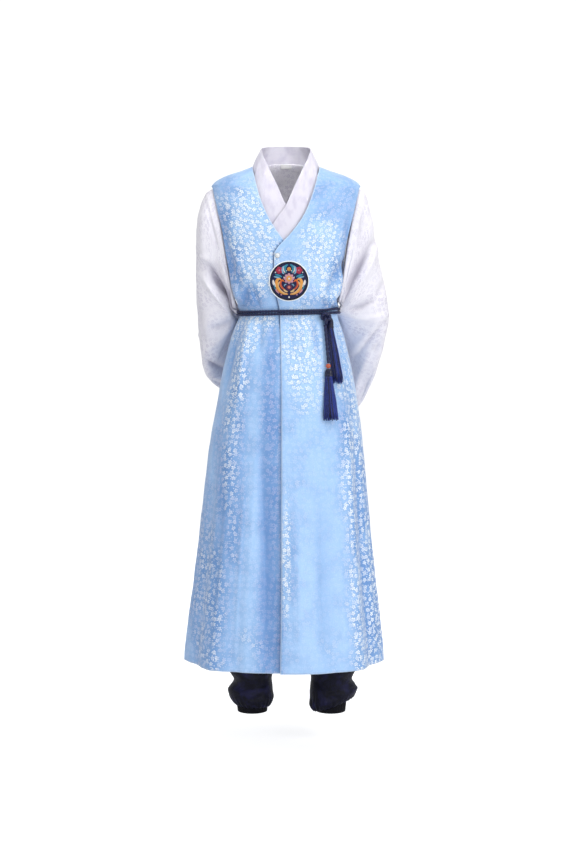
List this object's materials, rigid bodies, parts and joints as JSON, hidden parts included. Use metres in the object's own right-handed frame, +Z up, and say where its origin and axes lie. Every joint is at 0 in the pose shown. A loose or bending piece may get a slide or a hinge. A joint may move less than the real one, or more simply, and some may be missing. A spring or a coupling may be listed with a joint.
{
  "type": "worn hanbok set",
  "caption": "Man's hanbok set as worn: sleeveless long coat with a cord belt and tassels over a white wrapped jacket and navy trousers, hollow, arms behind the back",
  "frame": {"origin": "in the middle of the neck, level with the tops of the shoulders, where the wearer carries the clothes", "axes": "+Z up the body, the front faces -Y, +X is the wearer's left"},
  "size_m": [0.5147, 0.4124, 1.4171],
  "materials": {
    "sky_brocade": "light blue satin brocade with small woven flowers",
    "white_brocade": "white satin brocade, soft sheen",
    "white_collar": "stiffened white satin",
    "label_tape": "plain woven tape, blank",
    "navy_cloth": "dark navy satin",
    "navy_cord": "twisted rayon cord",
    "roundel_embroidery": "raised embroidery on navy satin",
    "amber_bead": "polished orange bead",
    "pearl_snap": "pearly snap cap"
  },
  "bodies": {
    "root": {"coat_back": "sky_brocade", "coat_front_left": "sky_brocade", "coat_front_right": "sky_brocade", "coat_snap": "pearl_snap", "chest_roundel": "roundel_embroidery", "jacket_back": "white_brocade", "jacket_front_left": "white_brocade", "jacket_front_right": "white_brocade", "sleeve_left": "white_brocade", "sleeve_right": "white_brocade", "collar_band": "white_collar", "neck_label": "label_tape", "trouser_left": "navy_cloth", "trouser_right": "navy_cloth", "trouser_waistband": "navy_cloth", "ankle_band_left": "navy_cloth", "ankle_band_right": "navy_cloth", "belt_cord_upper": "navy_cord", "belt_cord_lower": "navy_cord", "belt_knot": "navy_cord", "belt_end_cord": "navy_cord", "belt_bead": "amber_bead", "tassel_long": "navy_cord", "tassel_short": "navy_cord"}
  },
  "joints": []
}
